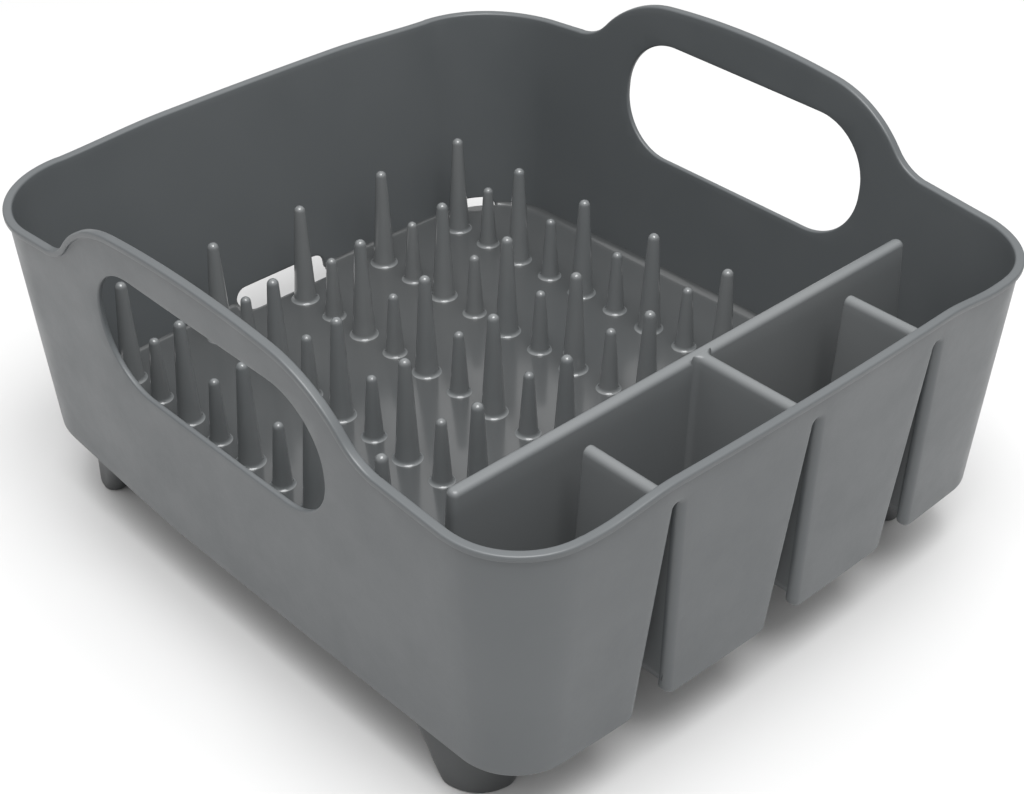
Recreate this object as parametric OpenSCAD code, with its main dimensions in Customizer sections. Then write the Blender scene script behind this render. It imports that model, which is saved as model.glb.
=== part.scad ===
// Dish drying rack: a one-shot moulded tub on four feet, with raised grips, drying pegs
// and a cutlery section. X runs along the cutlery side, Y from the cutlery side to the back,
// Z up. The origin is on the worktop under the middle of the tub.

/* [Tub] */
// Width over the lips at the rim
overall_w = 318; // [300:1:340]
// Depth over the lips at the rim
overall_d = 360; // [345:1:380]
// Height of the rim above the worktop
rim_z = 151; // [146:1:156]
// Height of the lower edge of the walls at the cutlery side
base_z = 33.5; // [30:0.5:36]
// Height of the lower edge of the walls at the back
back_base_z = 39.5; // [36:0.5:39.5]
// Wall thickness
wall = 2.6; // [2.2:0.1:3]
// How far the lip stands out from the wall
lip_out = 1.6; // [1:0.1:2]
// Height of the lip
lip_h = 2.8; // [2:0.1:4]
// Draft of the walls, in degrees
draft = 4; // [3:0.5:5]
// Extra lean of the back wall, in degrees
back_lean = 2.3; // [1:0.1:3]
// Radius of the two corners at the cutlery side
front_corner_r = 36; // [32:1:40]
// Radius of the two corners at the back
back_corner_r = 49; // [44:1:54]

/* [Grips] */
// Height of the top of the grips
grip_top_z = 186; // [180:1:190]
// Length of the hand hole
hand_l = 146; // [130:1:150]
// Height of the hand hole
hand_h = 59; // [50:1:60]
// Height of the lower edge of the hand hole
hand_z = 106; // [104:1:108]

/* [Pegs] */
// Height of the tall pegs
tall_h = 53.5; // [40:0.5:56]
// Height of the short pegs
short_h = 33.4; // [24:0.2:38]
// Distance between pegs in a row
peg_pitch = 23.4; // [22:0.1:23.6]
// Distance between rows
row_pitch = 51.9; // [46:0.1:53]

/* [Cutlery section] */
// Height of the top of the long divider
divider_z = 138.5; // [130:0.5:141]
// Height of the top of the cross divider and the fins
fin_z = 140; // [130:0.5:142]
// Distance from the middle to each fin
fin_x = 76; // [70:1:82]
// Thickness of the dividers at the top
divider_t = 5.8; // [5:0.1:7]

/* [Hidden] */
shell_grey = "#6b7173";
floor_grey = "#555c5e";
foot_grey = "#4d5051";

// Outline of the walls at the rim: flat sides and bowed ends, joined by four corner arcs
half_w = overall_w / 2 - lip_out;
half_d = overall_d / 2 - lip_out;
front_r = 2750;
back_r = 2630;
front_c = [0, front_r - half_d];
back_c = [0, half_d - back_r];
slope = tan(draft);
arc_steps = 8;
cut_top_z = 200;
cut_low_z = 15;
far = 240;
trim_out = 45;
trim_past = 12;
trim_past_a = 0.2;
// Steps round a full circle, for large and for small shapes
circle_steps = 96;
rounding_steps = 64;
peg_steps = 48;
peg_tip_steps = 32;

// Rim line, seen from the side and from the ends
grip_crown_r = 455;
grip_shoulder_r = 60;
grip_foot_r = 26;
crown_end_a = 6.4;
flank_a = 50;
rim_fall_a = 5.5;
rim_step = 5;
front_rim_high = 152.3;
front_corner_z = 148.2;
back_rim_high = 151.7;
back_corner_z = 149.6;
front_fall = [78, 116];
back_fall = [50, 112];

// Lower edge along the sides: level at the cutlery end, rising towards the back, as [y, z]
side_base_line = [[45, base_z], [75, 35.7], [126, 40.3], [150, back_base_z], [far, back_base_z]];

hand_r = 28;
hand_y = -1.4;
grip_zone_half_l = 108;
grip_zone_drop = 4;

// Floors
floor_t = 2.6;
floor_fall_a = 1.55;
peg_grid_y = 50.5;
floor_mid_z = 45.2;
cutlery_floor_z = 44;

// Dividers: hollow from below, one sheet on each side
sheet_t = 2.2;
ridge_t = 2.6;
divider_y = -115.3;
divider_half_l = 131;
divider_draft = tan(2);
fin_end_y = -130.4;

// Drain notches, open at the bottom: middle one, its cut into the floor, and the two in the corners
drain_start_y = 100;
mid_drain_half_l = 28;
mid_drain_top_z = 49.2;
mid_drain_r = 6;
mid_drain_floor_y = 154.3;
mid_drain_floor_r = 8;
corner_drain_x = 128.5;
corner_drain_half_l = 8.5;
corner_drain_r = 5;
corner_drain_top_z = 46.7;

// Pegs
row_count = 5;
pegs_in_row = 9;
tall_base_r = 5.6;
tall_tip_r = 2.8;
short_base_r = 4.5;
short_tip_r = 2.5;
peg_fillet = 2.2;
peg_sink = 2;

// Feet: curved blades that follow the corners
front_foot_c = [121.8, -120.5];
back_foot_c = [115.2, 128.9];
foot_mid_r = 13.1;
foot_half_t = 5.7;
foot_short_a = 13.6;
foot_flare_a = 28.8;
foot_end_l = 7.2;
foot_root = 1;
foot_shoulder = 0.25;
foot_top_z = 60;

function heading(v) = atan2(v[1], v[0]);
function arc_points(c, r, from, to) =
    [for (i = [0:arc_steps]) let (a = from + (to - from) * i / arc_steps)
        [c[0] + r * cos(a), c[1] + r * sin(a)]];

// Centre of a corner arc of radius r, tangent to the flat side and to a bowed end.
// side is -1 at the cutlery end and 1 at the back.
function corner_centre(end_c, end_r, r, side) =
    let (x = half_w - r)
    [x, end_c[1] + side * sqrt((end_r - r) ^ 2 - x ^ 2)];

front_corner_c = corner_centre(front_c, front_r, front_corner_r, -1);
back_corner_c = corner_centre(back_c, back_r, back_corner_r, 1);
front_a = heading(front_corner_c - front_c);
back_a = heading(back_corner_c - back_c);

// Section of a wall band between two offsets from the outer face, which is at radius at the rim
module band_section(radius, inner, outer) {
    low_r = radius - (rim_z - cut_low_z) * slope;
    top_r = radius - (rim_z - cut_top_z) * slope;
    polygon([
        [low_r + inner, cut_low_z],
        [low_r + outer, cut_low_z],
        [top_r + outer, cut_top_z],
        [top_r + inner, cut_top_z]
    ]);
}

// Wall band swept round one arc of the outline
module swept(centre, radius, from, to, inner, outer) {
    translate(centre)
        rotate(from)
            rotate_extrude(angle = to - from, $fn = ceil(arc_steps * 360 / (to - from)))
                band_section(radius, inner, outer);
}

// The two bowed ends can run on past their corners by an angle
module front_arc(inner, outer, past = 0) {
    swept(front_c, front_r, -180 - front_a - past, front_a + past, inner, outer);
}

module front_corner_arc(inner, outer) {
    swept(front_corner_c, front_corner_r, front_a, 0, inner, outer);
}

module back_corner_arc(inner, outer) {
    swept(back_corner_c, back_corner_r, 0, back_a, inner, outer);
}

module back_arc(inner, outer, past = 0) {
    swept(back_c, back_r, back_a - past, 180 - back_a + past, inner, outer);
}

// The whole back end leans in a little more than the rest
module leaned() {
    translate([0, back_corner_c[1], rim_z])
        rotate([-back_lean, 0, 0])
            translate([0, -back_corner_c[1], -rim_z])
                children();
}

// Flat side band, run on past both corners
module side_slab(inner, outer, past) {
    translate([0, back_corner_c[1] + past, 0])
        rotate([90, 0, 0])
            linear_extrude(back_corner_c[1] - front_corner_c[1] + 2 * past)
                band_section(half_w, inner, outer);
}

// Flat side wall band, ended by the leaning plane where the back corner starts
module side_band(inner, outer) {
    difference() {
        side_slab(inner, outer, wall);
        leaned()
            translate([0, back_corner_c[1], 0])
                cube([far, far, far]);
        translate([0, front_corner_c[1] - far, 0])
            cube([far, far, far]);
    }
}

// Rim line along the sides, as a half outline for y > 0, lowered by drop
function grip_half(corner_z, drop) =
    let (
        crown_c = [0, grip_top_z - grip_crown_r],
        crown_end = crown_c + grip_crown_r * [sin(crown_end_a), cos(crown_end_a)],
        shoulder_c = crown_end - grip_shoulder_r * [sin(crown_end_a), cos(crown_end_a)],
        flank = shoulder_c + grip_shoulder_r * [sin(flank_a), cos(flank_a)],
        foot_c = flank + grip_foot_r * [sin(flank_a), cos(flank_a)],
        foot_end = foot_c - grip_foot_r * [sin(rim_fall_a), cos(rim_fall_a)],
        corner_y = foot_end[0] + (foot_end[1] - corner_z) / tan(rim_fall_a),
        line = concat(
            arc_points(crown_c, grip_crown_r, 90, 90 - crown_end_a),
            arc_points(shoulder_c, grip_shoulder_r, 90 - crown_end_a, 90 - flank_a),
            arc_points(foot_c, grip_foot_r, 270 - flank_a, 270 - rim_fall_a),
            [[corner_y, corner_z], [far, corner_z]]
        )
    )
    [for (p = line) [p[0], p[1] - drop]];

function reversed(line) = [for (i = [len(line) - 1:-1:0]) line[i]];

module under_side_rim(drop = 0) {
    rotate([90, 0, 90])
        linear_extrude(2 * far, center = true)
            union() {
                polygon(concat([[0, base_z]], grip_half(back_corner_z, drop), reversed(side_base_line)));
                mirror([1, 0])
                    polygon(concat([[0, base_z]], grip_half(front_corner_z, drop), [[far, base_z]]));
            }
}

// Rim line along an end: high in the middle, easing down to the corners
module under_end_rim(high, low, fall, low_edge, drop) {
    ease = [for (x = [fall[0]:rim_step:fall[1]])
        [x, low + (high - low) * (1 + cos(180 * (x - fall[0]) / (fall[1] - fall[0]))) / 2 - drop]];
    half = concat([[0, high - drop]], ease, [[fall[1] + rim_step, low - drop], [far, low - drop]]);
    rotate([90, 0, 0])
        linear_extrude(2 * far, center = true)
            union() {
                polygon(concat([[0, low_edge]], half, [[far, low_edge]]));
                mirror([1, 0])
                    polygon(concat([[0, low_edge]], half, [[far, low_edge]]));
            }
}

module under_front_rim(drop = 0) {
    under_end_rim(front_rim_high, front_corner_z, front_fall, base_z, drop);
}

module under_back_rim(drop = 0) {
    under_end_rim(back_rim_high, back_corner_z, back_fall, back_base_z, drop);
}

// Hollow of a fin or cross divider, also the groove seen from outside
module fin_section(half_top, top) {
    low_half = half_top + (top - cut_low_z) * slope;
    polygon([
        [-low_half, cut_low_z],
        [low_half, cut_low_z],
        [half_top, top],
        [-half_top, top]
    ]);
}

module fin_solid(x, end_y) {
    translate([x, end_y, 0])
        rotate([90, 0, 0])
            linear_extrude(half_d + end_y + 2 * wall)
                fin_section(divider_t / 2, fin_z);
}

module fin_hollow(x, end_y) {
    half_top = divider_t / 2 + ridge_t * slope - sheet_t;
    translate([x, end_y - sheet_t, 0])
        rotate([90, 0, 0])
            linear_extrude(far)
                fin_section(half_top, fin_z - ridge_t);
}

module grooves() {
    fin_hollow(0, divider_y);
    for (x = [-fin_x, fin_x])
        fin_hollow(x, fin_end_y);
}

// Long divider between plates and cutlery: drafted on all four sides
module divider_block(grow, top) {
    half_t = divider_t / 2 + grow;
    half_l = divider_half_l + grow;
    low_t = half_t + (top - cut_low_z) * divider_draft;
    low_l = half_l + (top - cut_low_z) * divider_draft;
    intersection() {
        translate([0, divider_y, 0])
            rotate([90, 0, 90])
                linear_extrude(2 * far, center = true)
                    polygon([[-low_t, cut_low_z], [low_t, cut_low_z], [half_t, top], [-half_t, top]]);
        rotate([90, 0, 0])
            linear_extrude(2 * far, center = true)
                polygon([[-low_l, cut_low_z], [low_l, cut_low_z], [half_l, top], [-half_l, top]]);
    }
}

module divider_solid() {
    divider_block(0, divider_z);
}

module divider_hollow() {
    divider_block(ridge_t * divider_draft - sheet_t, divider_z - ridge_t);
}

// Everything between two planes parallel to the sloping basin floor
module basin_layer(from_z, to_z) {
    translate([0, peg_grid_y, floor_mid_z])
        rotate([-floor_fall_a, 0, 0])
            translate([-far, -far, from_z])
                cube([2 * far, 2 * far, to_z - from_z]);
}

// Notch through the back wall, with rounded top corners
module drain_arch(x, half_l, top_z, r) {
    translate([x, drain_start_y, 0])
        rotate([-90, 0, 0])
            linear_extrude(far) {
                for (side = [-1, 1])
                    translate([side * (half_l - r), r - top_z])
                        circle(r, $fn = rounding_steps);
                translate([-half_l, r - top_z])
                    square([2 * half_l, far]);
                translate([r - half_l, -top_z])
                    square([2 * (half_l - r), r]);
            }
}

// Where the floor stops in front of the middle drain
module drain_floor_cut() {
    half_l = mid_drain_half_l;
    r = mid_drain_floor_r;
    linear_extrude(2 * rim_z, center = true) {
        for (side = [-1, 1])
            translate([side * (half_l - r), mid_drain_floor_y + r])
                circle(r, $fn = rounding_steps);
        translate([-half_l, mid_drain_floor_y + r])
            square([2 * half_l, far]);
        translate([r - half_l, mid_drain_floor_y])
            square([2 * (half_l - r), r]);
    }
}

module drains() {
    drain_arch(0, mid_drain_half_l, mid_drain_top_z, mid_drain_r);
    both_sides()
        drain_arch(corner_drain_x, corner_drain_half_l, corner_drain_top_z, corner_drain_r);
}

// A shape together with its mirror image
module both_sides() {
    children();
    mirror([1, 0, 0])
        children();
}

// Space outside the inner faces of the walls, to trim what stands inside them
module outside_sides() {
    both_sides()
        side_slab(-wall, trim_out, trim_past);
}

module outside_front() {
    front_arc(-wall, trim_out, trim_past_a);
    both_sides()
        front_corner_arc(-wall, trim_out);
}

module outside_back() {
    leaned() {
        back_arc(-wall, trim_out, trim_past_a);
        both_sides()
            back_corner_arc(-wall, trim_out);
    }
}

// A wall with its lip. Children: the wall band, the lip band, the space under the rim line,
// and the space under the lip.
module lipped() {
    intersection() {
        children(0);
        children(2);
    }
    difference() {
        intersection() {
            children(1);
            children(2);
        }
        children(3);
    }
}

module front_wall() {
    color(shell_grey)
        difference() {
            lipped() {
                front_arc(-wall, 0);
                front_arc(0, lip_out);
                under_front_rim();
                under_front_rim(lip_h);
            }
            grooves();
        }
}

module front_corner() {
    color(shell_grey)
        lipped() {
            front_corner_arc(-wall, 0);
            front_corner_arc(0, lip_out);
            under_side_rim();
            under_side_rim(lip_h);
        }
}

module side_shell() {
    difference() {
        lipped() {
            side_band(-wall, 0);
            side_band(0, lip_out);
            under_side_rim();
            under_side_rim(lip_h);
        }
        hand_hole();
    }
}

module hand_hole() {
    translate([half_w, hand_y, hand_z])
        rotate([90, 0, 90])
            linear_extrude(far, center = true)
                hand_outline();
}

module hand_outline() {
    for (y = [-hand_l / 2 + hand_r, hand_l / 2 - hand_r])
        for (z = [hand_r, hand_h - hand_r])
            translate([y, z])
                circle(hand_r, $fn = circle_steps);
    translate([-hand_l / 2 + hand_r, 0])
        square([hand_l - 2 * hand_r, hand_h]);
    translate([-hand_l / 2, hand_r])
        square([hand_l, hand_h - 2 * hand_r]);
}

// The grip is the middle of the side from the lower edge of the hand hole up
module grip_zone() {
    translate([0, -grip_zone_half_l, hand_z - grip_zone_drop])
        cube([far, 2 * grip_zone_half_l, far]);
}

module side_wall() {
    color(shell_grey)
        difference() {
            side_shell();
            grip_zone();
        }
}

module handle() {
    color(shell_grey)
        intersection() {
            side_shell();
            grip_zone();
        }
}

module back_wall() {
    color(shell_grey)
        difference() {
            lipped() {
                leaned()
                    back_arc(-wall, 0);
                leaned()
                    back_arc(0, lip_out);
                under_back_rim();
                under_back_rim(lip_h);
            }
            drains();
        }
}

module back_corner() {
    color(shell_grey)
        difference() {
            lipped() {
                leaned()
                    back_corner_arc(-wall, 0);
                leaned()
                    back_corner_arc(0, lip_out);
                under_side_rim();
                under_side_rim(lip_h);
            }
            drains();
        }
}

// Sloping floor, with the step down to the cutlery floor at its front edge
module basin_floor() {
    step_front = divider_y - sheet_t / 2;
    low = cutlery_floor_z - floor_t;
    color(floor_grey)
        difference() {
            union() {
                intersection() {
                    basin_layer(-floor_t, 0);
                    translate([-half_w, step_front, 0])
                        cube([2 * half_w, half_d - step_front, far]);
                }
                difference() {
                    translate([-half_w, step_front, low])
                        cube([2 * half_w, sheet_t, floor_mid_z]);
                    basin_layer(-floor_t, far);
                }
            }
            outside_sides();
            outside_back();
            divider_hollow();
            drain_floor_cut();
        }
}

module cutlery_floor() {
    color(floor_grey)
        difference() {
            translate([-half_w, -half_d, cutlery_floor_z - floor_t])
                cube([2 * half_w, half_d + divider_y - sheet_t / 2, floor_t]);
            outside_sides();
            outside_front();
            divider_hollow();
            grooves();
        }
}

// The dividers stop at the top faces of the two floors
module below_floors() {
    basin_half = [2 * far, far, 2 * far];
    intersection() {
        basin_layer(-far, 0);
        translate([-far, divider_y - sheet_t / 2, -far])
            cube(basin_half);
    }
    translate([-far, divider_y - sheet_t / 2 - far, cutlery_floor_z - 2 * far])
        cube(basin_half);
}

module long_divider() {
    color(shell_grey)
        difference() {
            divider_solid();
            divider_hollow();
            below_floors();
        }
}

module fin(x, end_y) {
    color(shell_grey)
        difference() {
            fin_solid(x, end_y);
            fin_hollow(x, end_y);
            below_floors();
            divider_solid();
            front_arc(-wall, trim_out);
        }
}

module peg(height, base_r, tip_r) {
    rotate_extrude($fn = peg_steps)
        difference() {
            union() {
                polygon([
                    [0, -peg_sink],
                    [base_r + peg_fillet, -peg_sink],
                    [base_r + peg_fillet, 0],
                    [base_r, peg_fillet],
                    [tip_r, height - tip_r],
                    [0, height - tip_r]
                ]);
                intersection() {
                    translate([0, height - tip_r])
                        circle(tip_r, $fn = peg_tip_steps);
                    translate([0, height - tip_r])
                        square(2 * tip_r);
                }
            }
            translate([base_r + peg_fillet, peg_fillet])
                circle(peg_fillet, $fn = peg_tip_steps);
        }
}

// One row of pegs, tall and short in turn, standing on the sloping floor
module peg_row(row) {
    x = (row - (row_count - 1) / 2) * row_pitch;
    color(floor_grey)
        for (i = [0:pegs_in_row - 1]) {
            offset_y = (i - (pegs_in_row - 1) / 2) * peg_pitch;
            difference() {
                translate([x, peg_grid_y + offset_y, floor_mid_z - offset_y * tan(floor_fall_a)])
                    if (i % 2 == 0)
                        peg(tall_h, tall_base_r, tall_tip_r);
                    else
                        peg(short_h, short_base_r, short_tip_r);
                basin_layer(-far, 0);
            }
        }
}

// A foot: an upright curved blade under the corner, whose two ends flare outwards on the way up
module foot(centre, side) {
    from_a = (side < 0 ? -90 : 0) + foot_short_a;
    turn_a = 90 - 2 * foot_short_a;
    color(foot_grey)
        difference() {
            translate([centre[0], centre[1], 0])
                rotate(from_a) {
                    rotate_extrude(angle = turn_a, $fn = circle_steps)
                        translate([foot_mid_r - foot_half_t, 0])
                            square([2 * foot_half_t, foot_top_z]);
                    foot_end(-1);
                    rotate(turn_a)
                        foot_end(1);
                }
            above_undersides();
        }
}

// The flaring end of a blade that lies along X, a little thinner than the blade and rooted in it.
// way is 1 towards +Y.
module foot_end(way) {
    half_t = foot_half_t - foot_shoulder;
    translate([foot_mid_r - half_t, 0, 0])
        rotate([90, 0, 90])
            linear_extrude(2 * half_t)
                polygon([
                    [-way * foot_root, 0],
                    [way * foot_end_l, 0],
                    [way * (foot_end_l + foot_top_z * tan(foot_flare_a)), foot_top_z],
                    [-way * foot_root, foot_top_z]
                ]);
}

// Everything from the underside of the two floors up
module above_undersides() {
    edge = divider_y - sheet_t / 2;
    intersection() {
        basin_layer(-floor_t, far);
        translate([-far, edge, 0])
            cube([2 * far, 2 * far, far]);
    }
    translate([-far, edge - far, cutlery_floor_z - floor_t])
        cube([2 * far, far + sheet_t, far]);
}

front_wall();
mirror([1, 0, 0]) front_corner();  // front_left_corner
front_corner();  // front_right_corner
mirror([1, 0, 0]) side_wall();  // left_wall
side_wall();  // right_wall
mirror([1, 0, 0]) handle();  // left_handle
handle();  // right_handle
back_wall();
mirror([1, 0, 0]) back_corner();  // back_left_corner
back_corner();  // back_right_corner
basin_floor();
cutlery_floor();
long_divider();
fin(0, divider_y);  // middle_divider
fin(-fin_x, fin_end_y);  // left_fin
fin(fin_x, fin_end_y);  // right_fin
peg_row(0);  // peg_row_1
peg_row(1);  // peg_row_2
peg_row(2);  // peg_row_3
peg_row(3);  // peg_row_4
peg_row(4);  // peg_row_5
mirror([1, 0, 0]) foot(front_foot_c, -1);  // front_left_foot
foot(front_foot_c, -1);  // front_right_foot
mirror([1, 0, 0]) foot(back_foot_c, 1);  // back_left_foot
foot(back_foot_c, 1);  // back_right_foot
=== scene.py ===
"""Looks of the dish drying rack: smooth meshes for the moulded tub, and procedural plastic.

Lengths in the shape functions are millimetres in the part's own frame. put() turns them into metres.
"""
import math
from collections import namedtuple

import bmesh
import bpy
import numpy as np
from mathutils import Matrix, Vector
from mathutils.geometry import delaunay_2d_cdt


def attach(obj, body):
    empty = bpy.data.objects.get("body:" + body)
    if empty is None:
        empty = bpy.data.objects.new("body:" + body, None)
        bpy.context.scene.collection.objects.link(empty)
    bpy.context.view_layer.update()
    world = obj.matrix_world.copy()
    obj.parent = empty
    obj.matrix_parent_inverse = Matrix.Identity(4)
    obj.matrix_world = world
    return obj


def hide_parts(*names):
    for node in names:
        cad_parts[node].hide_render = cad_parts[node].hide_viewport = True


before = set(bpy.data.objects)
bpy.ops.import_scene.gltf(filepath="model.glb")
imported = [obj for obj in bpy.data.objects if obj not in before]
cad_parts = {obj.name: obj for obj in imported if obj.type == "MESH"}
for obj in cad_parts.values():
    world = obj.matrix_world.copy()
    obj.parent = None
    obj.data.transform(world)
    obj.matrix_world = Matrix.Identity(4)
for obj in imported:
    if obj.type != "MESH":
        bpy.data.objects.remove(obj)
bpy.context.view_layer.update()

MM = 0.001

# ---------------- driving dimensions, the part's or close to them
# Tub: drafted walls that bow outwards, with rounded corners and a lip along the rim
RIM_Z = 151.0
BASE_Z = 33.5
BACK_BASE_Z = 39.5
BASE_RISE = ((45.0, BASE_Z), (75.0, 35.7), (126.0, 40.3), (150.0, BACK_BASE_Z))  # (y, lower edge)
WALL = 2.6
LIP_OUT = 1.6
LIP_H = 2.8
HALF_W = 157.4
HALF_D = 178.4
SLOPE = math.tan(math.radians(4))
LEAN = math.tan(math.radians(2.3))
LEAN_FROM_Y = 60.0
LEAN_OVER = 60.0
SIDE_R = 11700.0
FRONT_R = 2750.0
BACK_R = 2630.0
FRONT_CORNER_R = 36.0
BACK_CORNER_R = 49.0

# Rim heights, grips and hand holes
GRIP_TOP_Z = 186.0
GRIP_CROWN_R = 455.0
GRIP_SHOULDER_R = 60.0
GRIP_FOOT_R = 26.0
CROWN_END = math.radians(6.4)
FLANK = math.radians(50)
RIM_FALL = math.radians(5.5)
RIM_SOFTNESS = 2.0
FRONT_RIM_HIGH = 152.3
FRONT_CORNER_Z = 148.2
BACK_RIM_HIGH = 151.7
BACK_CORNER_Z = 149.6
FRONT_FALL = (78.0, 116.0)
BACK_FALL = (50.0, 112.0)
HAND_L = 146.0
HAND_H = 59.0
HAND_Z = 106.0
HAND_R = 28.0
HAND_Y = -1.4

# Floors
FLOOR_T = 2.6
FLOOR_FALL = math.tan(math.radians(1.55))
FLOOR_MID_Y = 50.5
FLOOR_MID_Z = 45.2
CUTLERY_Z = 44.0

# Long divider, and the fins whose hollows open as grooves in the front wall
DIVIDER_Y = -115.3
DIVIDER_Z = 138.5
DIVIDER_HALF_L = 131.0
DIVIDER_T = 5.8
DIVIDER_LEAST_HALF_T = 0.4
DIVIDER_DRAFT = math.tan(math.radians(2))
FIN_X = 76.0
FIN_END_Y = -130.4
SHEET_T = 2.2
GROOVE_TIP_R = 0.8
GROOVE_TIP_Z = 137.0
GROOVE_ROLL = 4.0
POCKET_CORNER_R = 5.0

# Drains, open at the lower edge
MID_DRAIN_HALF_L = 28.0
MID_DRAIN_TOP_Z = 49.2
MID_DRAIN_R = 6.0
MID_DRAIN_FLOOR_Y = 154.3
MID_DRAIN_FLOOR_R = 8.0
CORNER_DRAIN_X = 128.5
CORNER_DRAIN_HALF_L = 8.0
CORNER_DRAIN_TOP_Z = 46.7
CORNER_DRAIN_R = 5.0
DRAIN_FOOT_R = 2.0

# Pegs: (height, radius at the floor, radius of the tip)
TALL = (53.5, 5.6, 2.8)
SHORT = (33.4, 4.5, 2.5)
PEG_FILLET = 2.2
PEG_TOP_R = 0.02
PEG_PITCH = 23.4
ROW_PITCH = 51.9
ROWS = 5
PEGS_IN_ROW = 9

# Feet: blades bent round a corner centre
FRONT_FOOT_C = (121.8, -120.5)
BACK_FOOT_C = (115.2, 128.9)
FOOT_MID_R = 13.1
FOOT_HALF_T = 5.7
FOOT_SHORT = math.radians(13.6)
FOOT_FLARE = math.tan(math.radians(28.8))
FOOT_END_L = 1.9
FOOT_ROUND_R = 1.5

# ---------------- finish of the visible edges
LIP_ROOT = 1.0
LIP_INSET = LIP_H + LIP_ROOT
LIP_R = 1.0
LIP_UNDER_R = 0.5
EDGE_R = 1.1
HOLE_EDGE_R = 0.9
ROLL_REACH = 0.6
SHEET_CHAMFER = 0.4
FIN_FLARE = 3.0
FIN_END_R = 1.2
DIVIDER_TOP_R = 2.2
DIVIDER_TOP_T = 2.6
DIVIDER_END_R = 2.6
BACK_CURVE_R = 2.2
SIDE_CURVE_R = 4.5
CUTLERY_CURVE_R = 5.0
CURVE_GROWS_FROM = 145.0
CURVE_GROWS_OVER = 40.0
FLOOR_EDGE_R = 0.9

# How far one skin runs into the next, so that no gap shows between them
OVERLAP = 0.3
FIN_SINK = 0.2
CURVE_SINK = 0.15
PEG_SINK = 0.1
FOOT_SINK = 1.0

# Hidden edges of the floors: behind the middle of the long divider, and out from a groove's face
BASIN_EDGE_BEHIND = 2.6
CUTLERY_EDGE_BEHIND = 0.4
FIN_EDGE_OUT = 0.6

# ---------------- mesh density
SHELL_SEAM = 70.0
CORNER_STEP = 2.6
BOW_STEP = 7.0
SHELL_ROW_STEP = 6.5
EDGE_STEP = 3.0
RIM_STEP = 2.0
HOLE_STEP = 1.5
FLOOR_STEP = 7.0
FLOOR_RIM_STEP = 2.5
FLOOR_FRONT_STEP = 6.0
SIDE_EDGE_POINTS = 60
SEAM_POINTS = 14
FIN_LEG_POINTS = 26
FIN_TIP_POINTS = 13
FIN_SPANS = 8
FIN_HOLLOW_ROWS = 10
DIVIDER_POINTS = 24
DIVIDER_LEVELS = 12
PEG_SIDES = 32
FILLET_ROWS = 6
FOOT_ARC_POINTS = 20
FOOT_END_POINTS = 14
FOOT_LEVELS = 12

# How far grid points keep from the boundary, and the stretches of y that the floors' grids cover
SHELL_CLEAR = 1.6
BASIN_CLEAR = 1.5
CUTLERY_CLEAR = 1.2
BASIN_SPAN = (-116, 172)
CUTLERY_SPAN = (-176, -110)

# Vertices closer than this become one
WELD = 0.02
SHELL_WELD = 0.03
FOOT_WELD = 0.005

SAME_PLACE = 1e-6
TINY = 1e-12

# Signs of x and y in each quarter of a rounded rectangle, and the angle where its corner starts
QUADRANTS = ((1, 1, 0), (-1, 1, 90), (-1, -1, 180), (1, -1, 270))


# ---------------- small helpers
def ease(t):
    """Smooth step from 0 to 1."""
    t = np.clip(t, 0.0, 1.0)
    return t * t * (3 - 2 * t)


def mix(a, b, t):
    """The value a share t of the way from a to b."""
    return a + (b - a) * t


def quarter(count):
    """Evenly spaced angles from 0 to a right angle."""
    return np.radians(np.linspace(0, 90, count))


def arc2d(c, r, a0, a1, n):
    """n points on an arc round c."""
    a = np.linspace(a0, a1, n)
    return np.stack([c[0] + r * np.cos(a), c[1] + r * np.sin(a)], -1)


def run_along(points):
    """Distance from the start of an open polyline to each of its points."""
    steps = np.linalg.norm(np.diff(points, axis=0), axis=1)
    return np.concatenate([[0.0], np.cumsum(steps)])


def spread(points, count):
    """So many evenly spaced points along an open polyline, keeping both ends."""
    run = run_along(points)
    t = np.linspace(0, run[-1], count)
    return np.stack([np.interp(t, run, values) for values in points.T], -1)


def resample(points, step):
    """Points about a step apart along an open polyline, keeping both ends."""
    return spread(points, max(2, int(round(run_along(points)[-1] / step)) + 1))


def round_corner(p0, p1, p2, r, n=7):
    """Arc that rounds the corner p1 of the path p0, p1, p2."""
    u = (p0 - p1) / np.linalg.norm(p0 - p1)
    v = (p2 - p1) / np.linalg.norm(p2 - p1)
    half = math.acos(np.clip(u @ v, -1, 1)) / 2
    reach = r / math.tan(half)
    centre = p1 + (u + v) / np.linalg.norm(u + v) * r / math.sin(half)
    a = p1 + u * reach - centre
    b = p1 + v * reach - centre
    a0 = math.atan2(a[1], a[0])
    a1 = math.atan2(b[1], b[0])
    turn = (a1 - a0 + math.pi) % (2 * math.pi) - math.pi
    return arc2d(centre, r, a0, a0 + turn, n)


def loop_area(loop):
    """Signed area of a closed loop, above 0 where it runs counter-clockwise."""
    x, y = loop[:, 0], loop[:, 1]
    return float((x * np.roll(y, -1) - np.roll(x, -1) * y).sum() / 2)


def right_of(travel):
    """Unit vectors that point right of the directions of travel."""
    travel = travel / (np.linalg.norm(travel, axis=1)[:, None] + TINY)
    return np.stack([travel[:, 1], -travel[:, 0]], -1)


def loop_normals(points):
    """Normals pointing right of travel round a closed loop."""
    return right_of(np.roll(points, -1, 0) - np.roll(points, 1, 0))


def open_normals(points):
    """Normals pointing right of travel along an open polyline."""
    return right_of(np.gradient(points, axis=0))


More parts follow.
